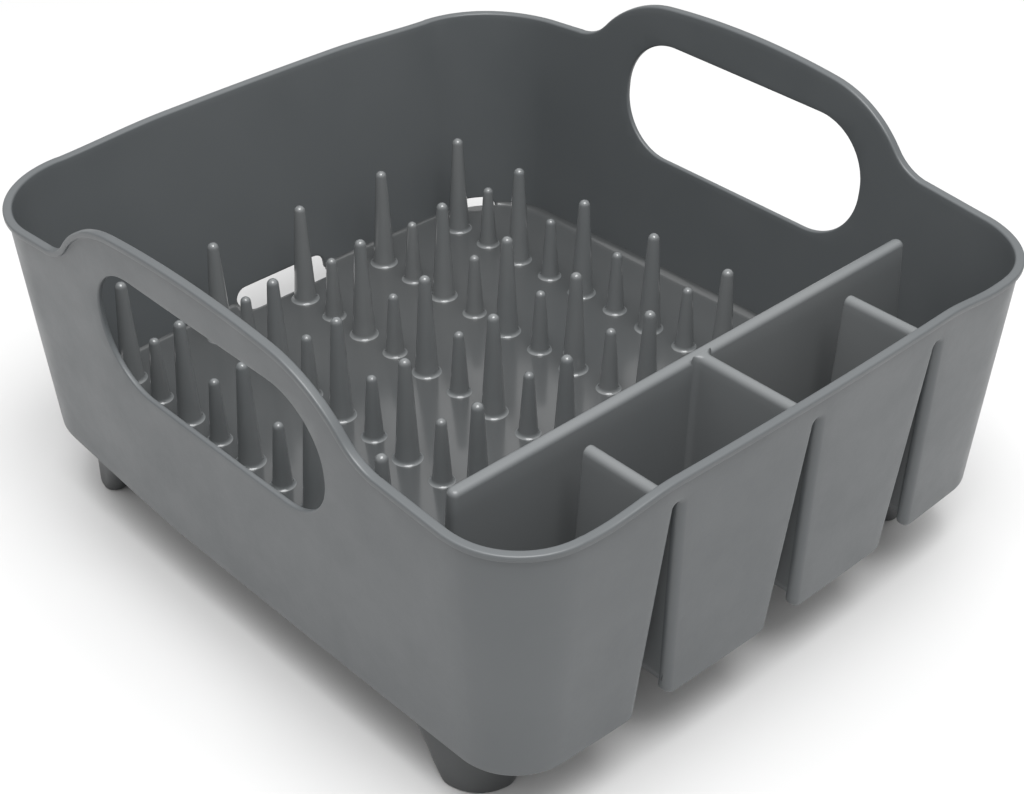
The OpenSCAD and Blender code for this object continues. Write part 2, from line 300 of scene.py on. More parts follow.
def inside(points, loop):
    """Even-odd test of 2D points against one closed loop."""
    x, y = points[:, 0], points[:, 1]
    hit = np.zeros(len(points), bool)
    x0, y0 = loop[:, 0], loop[:, 1]
    x1, y1 = np.roll(x0, -1), np.roll(y0, -1)
    for a0, b0, a1, b1 in zip(x0, y0, x1, y1):
        if b0 == b1:
            continue
        crosses = (b0 > y) != (b1 > y)
        hit ^= crosses & (x < (a1 - a0) * (y - b0) / (b1 - b0) + a0)
    return hit


def in_region(points, outer, holes):
    """Which points lie inside outer and outside every hole."""
    keep = inside(points, outer)
    for hole in holes:
        keep &= ~inside(points, hole)
    return keep


def far_from(points, others, clear, batch=2000):
    """Those of the points that keep clear of all the others."""
    near = np.empty(len(points))
    for i in range(0, len(points), batch):
        part = points[i:i + batch]
        squares = ((part[:, None, :] - others[None]) ** 2).sum(-1)
        near[i:i + batch] = np.sqrt(squares.min(1))
    return points[near > clear]


def triangulate(outer, holes, grid, clear):
    """Triangles between outer and the holes. Grid points that keep clear of both are extra vertices."""
    loops = [outer] + list(holes)
    edge_points = np.vstack(loops)
    grid = far_from(grid[in_region(grid, outer, holes)], edge_points, clear)
    edges = []
    start = 0
    for loop in loops:
        n = len(loop)
        edges += [(start + i, start + (i + 1) % n) for i in range(n)]
        start += n
    points = [Vector(p) for p in np.vstack([edge_points, grid])]
    out = delaunay_2d_cdt(points, edges, [], 0, 1e-5)
    verts = np.array([v[:] for v in out[0]])
    tris = np.array([f for f in out[2] if len(f) == 3])
    return verts, tris[in_region(verts[tris].mean(1), outer, holes)]


class Builder:
    """Collects vertices and faces of one piece."""

    def __init__(self):
        self.verts = []
        self.faces = []

    def add(self, points):
        """Adds points and returns their numbers."""
        start = len(self.verts)
        self.verts.extend(tuple(map(float, p)) for p in points)
        return np.arange(start, start + len(points))

    def bridge(self, a, b, closed=False):
        """Quads between two rows of vertex numbers."""
        n = len(a)
        for i in range(n if closed else n - 1):
            j = (i + 1) % n
            self.faces.append((a[i], a[j], b[j], b[i]))

    def grid(self, rows, closed=False):
        """Quads between rows of the same number of points."""
        ids = [self.add(r) for r in rows]
        for a, b in zip(ids[:-1], ids[1:]):
            self.bridge(a, b, closed)
        return ids

    def fan_rows(self, row):
        """Closes a symmetric open outline by joining its two halves point by point."""
        ids = self.add(row)
        n = len(ids)
        for i in range(n // 2 - 1):
            self.faces.append((ids[i], ids[i + 1], ids[n - 2 - i], ids[n - 1 - i]))

    def cap(self, ring, ids):
        """Closes a ring of vertices with triangles, as seen from above."""
        points = [Vector(p) for p in np.asarray(ring)[:, :2]]
        edges = [(i, (i + 1) % len(points)) for i in range(len(points))]
        out = delaunay_2d_cdt(points, edges, [], 1, 1e-6)
        origin = [o[0] for o in out[3]]
        for face in out[2]:
            self.faces.append(tuple(ids[origin[i]] for i in face))


def weld(mesh, distance):
    """Joins vertices closer than a distance in mm and turns all faces outwards."""
    bm = bmesh.new()
    bm.from_mesh(mesh)
    bmesh.ops.remove_doubles(bm, verts=bm.verts, dist=distance * MM)
    bmesh.ops.dissolve_degenerate(bm, edges=bm.edges, dist=1e-6)
    bmesh.ops.recalc_face_normals(bm, faces=bm.faces)
    bm.to_mesh(mesh)
    bm.free()


def put(name, b, material, replaces, merge=WELD):
    """Makes a smooth mesh from a builder, welds its seams and lets it ride on the root body."""
    mesh = bpy.data.meshes.new(name)
    mesh.from_pydata([Vector(v) * MM for v in b.verts], [], [list(map(int, f)) for f in b.faces])
    obj = bpy.data.objects.new(name, mesh)
    bpy.context.scene.collection.objects.link(obj)
    weld(mesh, merge)
    for poly in mesh.polygons:
        poly.use_smooth = True
    mesh.materials.append(material)
    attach(obj, "root")
    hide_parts(*replaces)


# ---------------- outline of the tub
Arc = namedtuple("Arc", "x y r start end")
LEFT_BACK, LEFT, LEFT_FRONT, FRONT, RIGHT_FRONT, RIGHT, RIGHT_BACK, BACK = range(8)


def tangent_corner(end_c, end_r, r, side):
    """Centre of a corner arc that touches the side bow and an end bow from inside."""
    side_c = np.array([HALF_W - SIDE_R, 0.0])
    link = np.array([0.0, end_c]) - side_c
    d = np.linalg.norm(link)
    a = ((SIDE_R - r) ** 2 - (end_r - r) ** 2 + d * d) / (2 * d)
    h = math.sqrt((SIDE_R - r) ** 2 - a * a)
    along = link / d
    across = np.array([-along[1], along[0]])
    spots = [side_c + along * a + across * h, side_c + along * a - across * h]
    return max(spots, key=lambda p: p[0] + side * p[1])


FRONT_C = FRONT_R - HALF_D
BACK_C = HALF_D - BACK_R
FRONT_CORNER = tangent_corner(FRONT_C, FRONT_R, FRONT_CORNER_R, -1)
BACK_CORNER = tangent_corner(BACK_C, BACK_R, BACK_CORNER_R, 1)


def outline_arcs():
    """The eight arcs once round the rim, from the left end of the back."""
    half = math.pi
    full = 2 * math.pi
    side_x = HALF_W - SIDE_R
    fx, fy = FRONT_CORNER
    bx, by = BACK_CORNER
    front_end = math.atan2(fy - FRONT_C, fx)
    back_end = math.atan2(by - BACK_C, bx)
    side_front = math.atan2(fy, fx - side_x)
    side_back = math.atan2(by, bx - side_x)
    return [
        Arc(-bx, by, BACK_CORNER_R, half - back_end, half - side_back),
        Arc(-side_x, 0.0, SIDE_R, half - side_back, half - side_front),
        Arc(-fx, fy, FRONT_CORNER_R, half - side_front, half - front_end),
        Arc(0.0, FRONT_C, FRONT_R, half - front_end, full + front_end),
        Arc(fx, fy, FRONT_CORNER_R, full + front_end, full + side_front),
        Arc(side_x, 0.0, SIDE_R, full + side_front, full + side_back),
        Arc(bx, by, BACK_CORNER_R, full + side_back, full + back_end),
        Arc(0.0, BACK_C, BACK_R, full + back_end, full + half - back_end),
    ]


ARCS = outline_arcs()
ARC_TABLE = np.array(ARCS)
ARC_STARTS = np.concatenate([[0.0], np.cumsum([abs(arc.end - arc.start) * arc.r for arc in ARCS])])
AROUND = ARC_STARTS[-1]
MID_LEFT = ARC_STARTS[LEFT] + (math.pi - ARCS[LEFT].start) * SIDE_R
MID_FRONT = (ARC_STARTS[FRONT] + ARC_STARTS[FRONT + 1]) / 2
MID_RIGHT = ARC_STARTS[RIGHT] + (2 * math.pi - ARCS[RIGHT].start) * SIDE_R
MID_BACK = (ARC_STARTS[BACK] + ARC_STARTS[BACK + 1]) / 2


def arc_at(s):
    """Number of the arc at s mm round the rim, for s from 0 to AROUND."""
    return np.clip(np.searchsorted(ARC_STARTS, s, side="right") - 1, 0, len(ARCS) - 1)


def on_wall(s, z, depth):
    """Points on the wall: s mm round the rim, at height z, depth mm in from the outer face."""
    s = np.mod(np.asarray(s, float), AROUND)
    z = np.asarray(z, float)
    depth = np.asarray(depth, float)
    k = arc_at(s)
    cx, cy, r, start = (ARC_TABLE[k, i] for i in range(4))
    a = start + (s - ARC_STARTS[k]) / r
    drafted_r = r - (RIM_Z - z) * SLOPE - depth
    x = cx + drafted_r * np.cos(a)
    y = cy + drafted_r * np.sin(a)
    lean = ease((y - LEAN_FROM_Y) / LEAN_OVER) * LEAN
    return np.stack([x, y - (RIM_Z - z) * lean, z + 0 * x], -1)


def grip_profile(y, corner_z):
    """Height of the rim along a side at a distance y from the middle: crown, shoulder, foot and fall."""
    y = abs(y)
    crown_z = GRIP_TOP_Z - GRIP_CROWN_R
    crown_end_y = GRIP_CROWN_R * math.sin(CROWN_END)
    shoulder_y = crown_end_y - GRIP_SHOULDER_R * math.sin(CROWN_END)
    shoulder_z = crown_z + GRIP_CROWN_R * math.cos(CROWN_END) - GRIP_SHOULDER_R * math.cos(CROWN_END)
    flank_y = shoulder_y + GRIP_SHOULDER_R * math.sin(FLANK)
    foot_y = flank_y + GRIP_FOOT_R * math.sin(FLANK)
    foot_z = shoulder_z + GRIP_SHOULDER_R * math.cos(FLANK) + GRIP_FOOT_R * math.cos(FLANK)
    fall_y = foot_y - GRIP_FOOT_R * math.sin(RIM_FALL)
    fall_z = foot_z - GRIP_FOOT_R * math.cos(RIM_FALL)
    if y < crown_end_y:
        return crown_z + math.sqrt(GRIP_CROWN_R ** 2 - y * y)
    if y < flank_y:
        return shoulder_z + math.sqrt(GRIP_SHOULDER_R ** 2 - (y - shoulder_y) ** 2)
    if y < fall_y:
        return foot_z - math.sqrt(GRIP_FOOT_R ** 2 - (y - foot_y) ** 2)
    gap = fall_z - (y - fall_y) * math.tan(RIM_FALL) - corner_z
    return corner_z + (gap + math.sqrt(gap * gap + RIM_SOFTNESS)) / 2


def end_profile(x, high, low, fall):
    """Height of the front or back rim at x: high in the middle, falling to low over the stretch fall."""
    return mix(high, low, ease((abs(x) - fall[0]) / (fall[1] - fall[0])))


def rim_height(s):
    """Height of the rim at s mm round the outline."""
    x, y, _ = on_wall(s, RIM_Z, 0.0)
    arc = arc_at(s % AROUND)
    if arc == FRONT:
        return float(end_profile(x, FRONT_RIM_HIGH, FRONT_CORNER_Z, FRONT_FALL))
    if arc == BACK:
        return float(end_profile(x, BACK_RIM_HIGH, BACK_CORNER_Z, BACK_FALL))
    return grip_profile(y, BACK_CORNER_Z if y > 0 else FRONT_CORNER_Z)


# ---------------- lower edge of the shell
def fin_curve(offset, low_z):
    """Outline (x, z) of the wedge round a groove, offset outwards: up one leg, over the tip and down."""
    r = GROOVE_TIP_R + offset
    phi = math.atan(SLOPE)
    shoulder_z = GROOVE_TIP_Z + r * math.sin(phi)
    tip = arc2d((0.0, GROOVE_TIP_Z), r, math.pi - phi, phi, FIN_TIP_POINTS)
    t = np.linspace((shoulder_z - low_z) / math.cos(phi), 0, FIN_LEG_POINTS)[:-1]
    leg = np.stack([-r * math.cos(phi) - t * math.sin(phi), shoulder_z - t * math.cos(phi)], -1)
    return np.vstack([leg, tip, leg[::-1] * [-1, 1]])


def base_line(s):
    """Height of the lower edge of the shell at s mm round the outline, leaving out grooves and drains."""
    y = on_wall(s, BASE_Z, 0.0)[1]
    return float(np.interp(y, *zip(*BASE_RISE)))


def side_edge(lo, hi):
    """Plain lower edge along a side, in (s, z)."""
    return np.array([(s, base_line(s)) for s in np.linspace(lo, hi, SIDE_EDGE_POINTS)])


def drain_notch(mid, half_l, top_z, r):
    """Lower edge of the shell round one drain, open at the bottom, in (s, z)."""
    low = BACK_BASE_Z
    path = [(mid - 2 * half_l, low), (mid - half_l, low), (mid - half_l, top_z),
            (mid + half_l, top_z), (mid + half_l, low), (mid + 2 * half_l, low)]
    corners = [np.array(c) for c in path]
    radii = (DRAIN_FOOT_R, r, r, DRAIN_FOOT_R)
    return np.vstack([round_corner(*corners[i:i + 3], radii[i]) for i in range(4)])


def corner_drain_mid(hand):
    """Place round the outline of the middle of a corner drain, and its half length there."""
    r = BACK_CORNER_R - (RIM_Z - CORNER_DRAIN_TOP_Z) * SLOPE - WALL / 2
    out = CORNER_DRAIN_X - BACK_CORNER[0]
    first, last = (math.acos((out + side * CORNER_DRAIN_HALF_L) / r) for side in (1, -1))
    mid = (first + last) / 2
    half_l = (last - first) / 2 * BACK_CORNER_R
    run = (2 * math.pi + mid - ARCS[RIGHT_BACK].start) * BACK_CORNER_R
    return (ARC_STARTS[RIGHT_BACK] + run if hand > 0 else ARC_STARTS[LEFT] - run), half_l


def groove_edge(mid):
    """Lower edge up one side of a groove and down the other: (points, share of a groove edge) pairs.

    Both of its lower corners are rounded between the plain edge and a point a little way up the leg.
    """
    aside = np.array([40.0, 0.0])
    foot = np.array([mid, BASE_Z])
    leg = fin_curve(0.0, BASE_Z) + [mid, 0]
    first = round_corner(foot - aside, leg[0], leg[3], POCKET_CORNER_R)
    last = round_corner(leg[-4], leg[-1], foot + aside, POCKET_CORNER_R)
    inner = leg[leg[:, 1] > first[-1][1] + 1.0]
    ramp = ease(np.linspace(0, 1, len(first)))
    return [(first, ramp), (inner, np.ones(len(inner))), (last, ramp[::-1])]


def refine(points, share, step):
    """Adds points to an open path until they are at most a step apart, and mixes their shares."""
    fine, fine_share = [points[:1]], [share[:1]]
    for i in range(len(points) - 1):
        n = max(1, int(math.ceil(np.linalg.norm(points[i + 1] - points[i]) / step)))
        t = np.linspace(0, 1, n + 1)[1:]
        fine.append(mix(points[i], points[i + 1], t[:, None]))
        fine_share.append(mix(share[i], share[i + 1], t))
    return np.vstack(fine), np.concatenate(fine_share)


def bottom_edge(seam_lo, seam_hi):
    """True lower edge of the shell in (s, z), with drains and grooves, and its share of a groove edge."""
    left_mid, half_l = corner_drain_mid(-1)
    right_mid, _ = corner_drain_mid(1)
    before = [
        np.array([[seam_lo, BACK_BASE_Z]]),
        drain_notch(MID_BACK - AROUND, MID_DRAIN_HALF_L, MID_DRAIN_TOP_Z, MID_DRAIN_R),
        drain_notch(left_mid, half_l, CORNER_DRAIN_TOP_Z, CORNER_DRAIN_R),
        side_edge(left_mid + half_l + 2 * DRAIN_FOOT_R, ARC_STARTS[LEFT_FRONT]),
    ]
    after = [
        side_edge(ARC_STARTS[RIGHT], right_mid - half_l - 2 * DRAIN_FOOT_R),
        drain_notch(right_mid, half_l, CORNER_DRAIN_TOP_Z, CORNER_DRAIN_R),
        np.array([[seam_hi, BACK_BASE_Z]]),
    ]
    parts = [(points, np.zeros(len(points))) for points in before]
    for x in (-FIN_X, 0.0, FIN_X):
        parts += groove_edge(MID_FRONT + x)
    parts += [(points, np.zeros(len(points))) for points in after]
    return refine(np.vstack([p for p, _ in parts]), np.concatenate([g for _, g in parts]), EDGE_STEP)


# ---------------- the moulded shell
def lip_section():
    """Section of the rim from the outer face over the lip to the inner face: (up, depth) pairs."""
    top = LIP_INSET - LIP_R
    under = LIP_UNDER_R - LIP_OUT
    pts = [(0.0, 0.0), (0.6, 0.0), (0.9, -0.15), (LIP_ROOT, -0.5), (LIP_ROOT, under)]
    pts += [(LIP_ROOT + LIP_UNDER_R * (1 - math.cos(a)), under - LIP_UNDER_R * math.sin(a))
            for a in quarter(4)[1:]]
    pts += [(top, -LIP_OUT)]
    pts += [(top + LIP_R * math.sin(a), LIP_R - LIP_OUT - LIP_R * math.cos(a)) for a in quarter(6)[1:]]
    pts += [(LIP_INSET, WALL - LIP_R)]
    pts += [(top + LIP_R * math.cos(a), WALL - LIP_R + LIP_R * math.sin(a)) for a in quarter(6)[1:]]
    pts += [(0.0, WALL)]
    return np.array(pts)


def bottom_section(g):
    """Section of the lower edge as (out, depth) pairs: plain at g = 0, a rolled groove edge at g = 1."""
    roll = mix(EDGE_R, GROOVE_ROLL, g)
    deep = mix(WALL, GROOVE_ROLL + ROLL_REACH, g)
    thick = mix(EDGE_R, SHEET_T - OVERLAP, g)
    c = SHEET_CHAMFER
    out = [(roll * math.sin(a), roll * (1 - math.cos(a))) for a in quarter(8)]
    out += [(roll, max(roll, deep - c)), (roll - c, deep), (roll - thick + c * g, deep)]
    out += [(roll - thick, mix(WALL, deep - c, g)), (roll - thick, WALL), (0.0, WALL)]
    return np.array(out)


def hole_section():
    """Section of the rounded edge of a hand hole as (out, depth) pairs."""
    r = HOLE_EDGE_R
    out = [(r * math.sin(a), r * (1 - math.cos(a))) for a in quarter(5)]
    out += [(r * math.cos(a), WALL - r + r * math.sin(a)) for a in quarter(5)]
    return np.array(out)


def strip(b, loop, normals, sections, closed):
    """Sweeps a section along a loop on the wall. sections holds one (out, depth) list per point."""
    rows = []
    for k in range(sections.shape[1]):
        q = loop + normals * sections[:, k, 0][:, None]
        rows.append(on_wall(q[:, 0], q[:, 1], sections[:, k, 1]))
    b.grid(rows, closed)


def pill(cx, cz, half_l, half_h, r):
    """Closed rounded rectangle, counter-clockwise, with evenly spaced points."""
    out = []
    for sx, sz, a in QUADRANTS:
        c = (cx + sx * (half_l - r), cz + sz * (half_h - r))
        a0 = math.radians(a)
        out.append(arc2d(c, r, a0, a0 + math.pi / 2, int(r * math.pi / 2 / HOLE_STEP)))
    pts = np.vstack(out)
    return resample(np.vstack([pts, pts[:1]]), HOLE_STEP)[:-1]


def hand_holes():
    """True edges of the two hand holes, in (s, z)."""
    cz = HAND_Z + HAND_H / 2
    mids = (MID_LEFT - HAND_Y, MID_RIGHT + HAND_Y)
    return [pill(mid, cz, HAND_L / 2, HAND_H / 2, HAND_R) for mid in mids]


def column_places(lo, hi):
    """Places round the outline for mesh columns, closer together round the corners."""
    corners = (LEFT_BACK, LEFT_FRONT, RIGHT_FRONT, RIGHT_BACK)
    out = []
    s = lo
    while s < hi:
        out.append(s)
        s += CORNER_STEP if arc_at(s % AROUND) in corners else BOW_STEP
    return np.array(out)


def make_shell(material):
    """The tub's whole wall in one skin, unrolled as (s, z) with its seam in the back."""
    b = Builder()
    seam = MID_BACK - SHELL_SEAM
    lo, hi = seam - AROUND, seam
    edge, groove = bottom_edge(lo, hi)
    normals = open_normals(edge)
    sections = np.array([bottom_section(g) for g in groove])
    inset = sections[:, :, 0].max(axis=1)
    low_loop = edge - normals * inset[:, None]
    strip(b, low_loop, normals, sections, False)

    rim = np.array([(s, rim_height(s)) for s in np.append(np.arange(lo, hi, RIM_STEP), hi)])
    up = -open_normals(rim)
    rim_loop = rim - up * LIP_INSET
    strip(b, rim_loop, up, np.repeat(lip_section()[None], len(rim), 0), False)

    hole_loops = []
    for hole in hand_holes():
        if hole[:, 0].max() > hi:
            hole = hole - [AROUND, 0]
        inward = -loop_normals(hole)
        loop = hole - inward * HOLE_EDGE_R
        strip(b, loop, inward, np.repeat(hole_section()[None], len(loop), 0), True)
        hole_loops.append(loop)

    side = np.linspace(low_loop[-1][1], rim_loop[-1][1], SEAM_POINTS)[1:-1]
    right = np.stack([np.full(len(side), hi), side], -1)
    left = np.stack([np.full(len(side), lo), side[::-1]], -1)
    outer = np.vstack([low_loop, right, rim_loop[::-1], left])
    heights = np.arange(BASE_Z + 4, GRIP_TOP_Z - 2, SHELL_ROW_STEP)
    grid = np.array([(s, z) for s in column_places(lo, hi) for z in heights])
    verts, tris = triangulate(outer, hole_loops, grid, SHELL_CLEAR)
    for depth in (0.0, WALL):
        ids = b.add(on_wall(verts[:, 0], verts[:, 1], depth))
        b.faces.extend(tuple(ids[t]) for t in tris)
    walls = ("front_wall", "front_left_corner", "front_right_corner", "left_wall", "right_wall",
             "left_handle", "right_handle", "back_wall", "back_left_corner", "back_right_corner")
    put("tub_shell", b, material, walls, SHELL_WELD)


# ---------------- fins and dividers
def front_y(x, z, depth):
    """Y of the front wall at x and z, depth mm in from its outer face."""
    r = FRONT_R - (RIM_Z - z) * SLOPE - depth
    return FRONT_C - np.sqrt(r * r - x * x)


def divider_face(z):
    """Y of the long divider's face on the cutlery side at height z, from the divider's middle."""
    return -(DIVIDER_T / 2) - (DIVIDER_Z - np.minimum(z, DIVIDER_Z)) * DIVIDER_DRAFT


def make_fin(name, x0, end_y, joins, material, node):
    """Hollow wedge behind a groove. It flares into the long divider, or ends free with a rounded edge."""
    b = Builder()
    low = CUTLERY_Z - FLOOR_T + OVERLAP
    ridge_z = fin_curve(SHEET_T, low)[:, 1].max()

    def section(grow):
        """Outline of the skin, grow mm wider on each side, no higher than the ridge."""
        curve = fin_curve(SHEET_T + grow, low)
        return x0 + curve[:, 0], np.minimum(curve[:, 1], ridge_z)

    rows = []
    for a in quarter(FILLET_ROWS):
        x, z = section(FIN_FLARE * (1 - math.sin(a)))
        depth = WALL - FIN_SINK + FIN_FLARE * (1 - math.cos(a))
        rows.append(np.stack([x, front_y(x, z, depth), z], -1))
    first_y = rows[-1][:, 1]
    stop = end_y - (FIN_FLARE if joins else FIN_END_R)
    for i in range(1, FIN_SPANS):
        rows.append(np.stack([x, mix(first_y, stop, i / FIN_SPANS), z], -1))
    straight = list(rows)
    for a in quarter(FILLET_ROWS):
        if joins:
            x, z = section(FIN_FLARE * (1 - math.cos(a)))
            y = stop + FIN_FLARE * math.sin(a) + FIN_SINK + divider_face(z)
        else:
            x, z = section(-FIN_END_R * (1 - math.cos(a)))
            y = np.full(len(z), stop + FIN_END_R * math.sin(a))
        rows.append(np.stack([x, y, z], -1))
    b.grid(rows)
    if not joins:
        b.fan_rows(rows[-1])

    hollow = fin_curve(0.0, low)
    x = x0 + hollow[:, 0]
    near = front_y(x, hollow[:, 1], GROOVE_ROLL - OVERLAP)
    far = end_y - SHEET_T
    inner = [np.stack([x, mix(near, far, t), hollow[:, 1]], -1) for t in np.linspace(0, 1, FIN_HOLLOW_ROWS)]
    b.grid(inner)
    b.fan_rows(inner[-1])
    for end in (0, -1):
        outer_foot = np.array([row[end] for row in straight])
        inner_foot = np.array([row[end] for row in inner])
        b.grid([spread(outer_foot, len(inner)), inner_foot])
    put(name, b, material, (node,))


def rounded_bar(half_l, half_t, r):
    """Closed rounded rectangle in plan, with many points along its length."""
    r = min(r, half_t * 0.98)
    out = []
    for sx, sy, a in QUADRANTS:
        c = (sx * (half_l - r), sy * (half_t - r))
        a0 = math.radians(a)
        out.append(arc2d(c, r, a0, a0 + math.pi / 2, 7))
        if sx == sy:
            along = np.linspace(sx * (half_l - r), -sx * (half_l - r), DIVIDER_POINTS + 2)[1:-1]
            out.append(np.stack([along, np.full(DIVIDER_POINTS, sy * half_t)], -1))
    return np.vstack(out)


def divider_rings(top, grow):
    """Rings of a drafted bar from its underside to its rounded top, grow mm outside the divider's face."""
    r = DIVIDER_TOP_R
    climb = [(z, 0.0) for z in np.linspace(CUTLERY_Z - FLOOR_T, top - r, DIVIDER_LEVELS)]
    climb += [(top - r + r * math.sin(a), r * (1 - math.cos(a))) for a in quarter(6)[1:]]
    rings = []
    for z, pull in climb:
        lean = (DIVIDER_Z - z) * DIVIDER_DRAFT
        half_t = max(DIVIDER_LEAST_HALF_T, DIVIDER_T / 2 + grow + lean - pull)
        ring = rounded_bar(DIVIDER_HALF_L + grow + lean - pull, half_t, DIVIDER_END_R)
        rings.append(np.column_stack([ring[:, 0], DIVIDER_Y + ring[:, 1], np.full(len(ring), z)]))
    return rings


def make_long_divider(material):
    """Hollow bar between the plates and the cutlery, open underneath."""
    b = Builder()
    feet = []
    for top, grow in ((DIVIDER_Z, 0.0), (DIVIDER_Z - DIVIDER_TOP_T, -SHEET_T)):
        rings = divider_rings(top, grow)
        ids = b.grid(rings, True)
        b.cap(rings[-1], ids[-1])
        feet.append(ids[0])
    b.bridge(*feet, True)
    put("long_divider_skin", b, material, ("long_divider",))


# ---------------- floors
def basin_z(y):
    """Height of the basin floor, which falls to the back."""
    return FLOOR_MID_Z - (y - FLOOR_MID_Y) * FLOOR_FALL


def cutlery_level(y):
    """Height of the cutlery floor, which is level."""
    return np.full(np.shape(y), CUTLERY_Z)


def basin_curve(s):
    """Radius of the curve between floor and wall: small along the back, larger round the corners."""
    from_back = min(abs(s - MID_BACK + turn) for turn in (0.0, AROUND, -AROUND))
    return mix(BACK_CURVE_R, SIDE_CURVE_R, ease((from_back - CURVE_GROWS_FROM) / CURVE_GROWS_OVER))


def cutlery_curve(s):
    """Radius of the curve between the cutlery floor and the wall, the same everywhere."""
    return CUTLERY_CURVE_R


def wall_curve_rows(s_values, floor_z, curve):
    """Rows from the flat floor up to the inner wall face, along the wall."""
    rows = []
    for a in quarter(7):
        pts = []
        for s in s_values:
            r = curve(s)
            foot = on_wall(s, FLOOR_MID_Z, WALL + r)
            z = floor_z(foot[1]) + r * (1 - math.cos(a))
            pts.append(on_wall(s, z, WALL - CURVE_SINK + r * (1 - math.sin(a))))
        rows.append(np.array(pts))
    return rows


def find_s(target, axis, lo, hi, depth, z, halvings=60):
    """Place round the outline between lo and hi where the wall, depth mm in, crosses a value of x or y."""
    for _ in range(halvings):
        mid = (lo + hi) / 2
        low_gap = on_wall(lo, z, depth)[axis] - target
        mid_gap = on_wall(mid, z, depth)[axis] - target
        if low_gap * mid_gap <= 0:
            hi = mid
        else:
            lo = mid
    return (lo + hi) / 2


def side_ends(y, depth, z):
    """Places on the left and right sides where the wall, depth mm in, crosses a line of constant y."""
    past = 20.0
    left = find_s(y, 1, MID_LEFT, ARC_STARTS[LEFT_FRONT] + past, depth, z)
    right = find_s(y, 1, ARC_STARTS[RIGHT] - past, MID_RIGHT, depth, z)
    return left, right


def places_with(lo, hi, gaps):
    """Evenly spaced places from lo to hi, with the exact ends of the gaps in place of their neighbours."""
    ends = [end for gap in gaps for end in gap[:2]]
    plain = np.linspace(lo, hi, int((hi - lo) / FLOOR_RIM_STEP) + 1)
    far = np.array([all(abs(p - end) > 0.3 * FLOOR_RIM_STEP for end in ends) for p in plain])
    return np.sort(np.concatenate([plain[far], ends]))


def add_wall_curve(b, rows, s_values, gaps):
    """The curve along the wall with its underside, left out in the gaps and closed at their ends."""
    low = rows[0] - [0, 0, FLOOR_T]
    wall = np.array([on_wall(s, z, WALL - CURVE_SINK) for s, z in zip(s_values, low[:, 2])])
    ids = [b.add(row) for row in [wall, low] + rows]
    for i in range(len(s_values) - 1):
        middle = (s_values[i] + s_values[i + 1]) / 2
        if any(gap[0] < middle < gap[1] for gap in gaps):
            continue
        for a, c in zip(ids[2:-1], ids[3:]):
            b.faces.append((a[i], a[i + 1], c[i + 1], c[i]))
        b.faces.append((ids[0][i], ids[0][i + 1], ids[1][i + 1], ids[1][i]))
    for gap in gaps:
        for end in gap[:2]:
            i = int(np.argmin(abs(s_values - end)))
            b.faces.append(tuple(row[i] for row in ids))


def floor_grid(lo_y, hi_y):
    """Square grid of points wider than the tub, between two values of y."""
    across = np.arange(-150, 151, FLOOR_STEP)
    return np.array([(x, y) for x in across for y in np.arange(lo_y, hi_y, FLOOR_STEP)])


def add_floor_slab(b, outer, free, grid, height, clear):
    """Flat top and underside inside a boundary, with a rounded edge where the boundary is free."""
    verts, tris = triangulate(outer, [], grid, clear)
    for drop in (0.0, FLOOR_T):
        ids = b.add(np.column_stack([verts, height(verts[:, 1]) - drop]))
        b.faces.extend(tuple(ids[t]) for t in tris)
    outward = loop_normals(outer) * (1 if loop_area(outer) > 0 else -1)
    r = FLOOR_EDGE_R
    section = [(r * math.sin(a), r * (1 - math.cos(a))) for a in np.radians([0, 25, 50, 75, 90])]
    section += [(r, FLOOR_T), (0.0, FLOOR_T)]
    rows = [np.column_stack([outer + outward * out, height(outer[:, 1]) - drop]) for out, drop in section]
    ids = [b.add(row) for row in rows]
    for i in range(len(outer)):
        j = (i + 1) % len(outer)
        if free[i] and free[j]:
            b.faces.extend((a[i], a[j], c[j], c[i]) for a, c in zip(ids[:-1], ids[1:]))


def basin_gaps():
    """Stretches of the wall with a drain as (from, to, kind), in the order that they come round."""
    right_mid, half_l = corner_drain_mid(1)
    left_mid = corner_drain_mid(-1)[0] + AROUND
    stretch = BACK_R / (BACK_R - (RIM_Z - FLOOR_MID_Z) * SLOPE - WALL)
    middle_half_l = MID_DRAIN_HALF_L * stretch
    return [(right_mid - half_l, right_mid + half_l, "corner"),
            (MID_BACK - middle_half_l, MID_BACK + middle_half_l, "middle"),
            (left_mid - half_l, left_mid + half_l, "corner")]


def middle_drain_edge(wall_y):
    """Free edge of the floor round the middle drain, from the wall on the right to the wall on the left."""
    x = MID_DRAIN_HALF_L + FLOOR_EDGE_R
    y = MID_DRAIN_FLOOR_Y - FLOOR_EDGE_R
    r = MID_DRAIN_FLOOR_R - FLOOR_EDGE_R
    right = round_corner(np.array([x, y + 2 * r]), np.array([x, y]), np.array([0.0, y]), r, 9)
    right = right[right[:, 1] < wall_y]
    right = np.vstack([[[right[0][0], wall_y]], right])
    across = np.linspace(x - r, r - x, 12)[1:-1]
    return np.vstack([right, np.column_stack([across, np.full(len(across), y)]), right[::-1] * [-1, 1]])


def basin_outline(s_values, ring, gaps):
    """Boundary of the flat basin floor along the wall, and which of its points are a drain's free edge."""
    outline, free = [], []
    for s, point in zip(s_values, ring):
        kinds = [kind for lo, hi, kind in gaps if lo - SAME_PLACE <= s <= hi + SAME_PLACE]
        if not kinds:
            outline.append([point])
        elif kinds[0] == "corner":
            outline.append([on_wall(s, basin_z(point[1]), WALL + FLOOR_EDGE_R)[:2]])
        elif abs(s - gaps[1][0]) < SAME_PLACE:
            outline.append(middle_drain_edge(point[1]))
        else:
            continue
        free += [bool(kinds)] * len(outline[-1])
    return np.vstack(outline), free


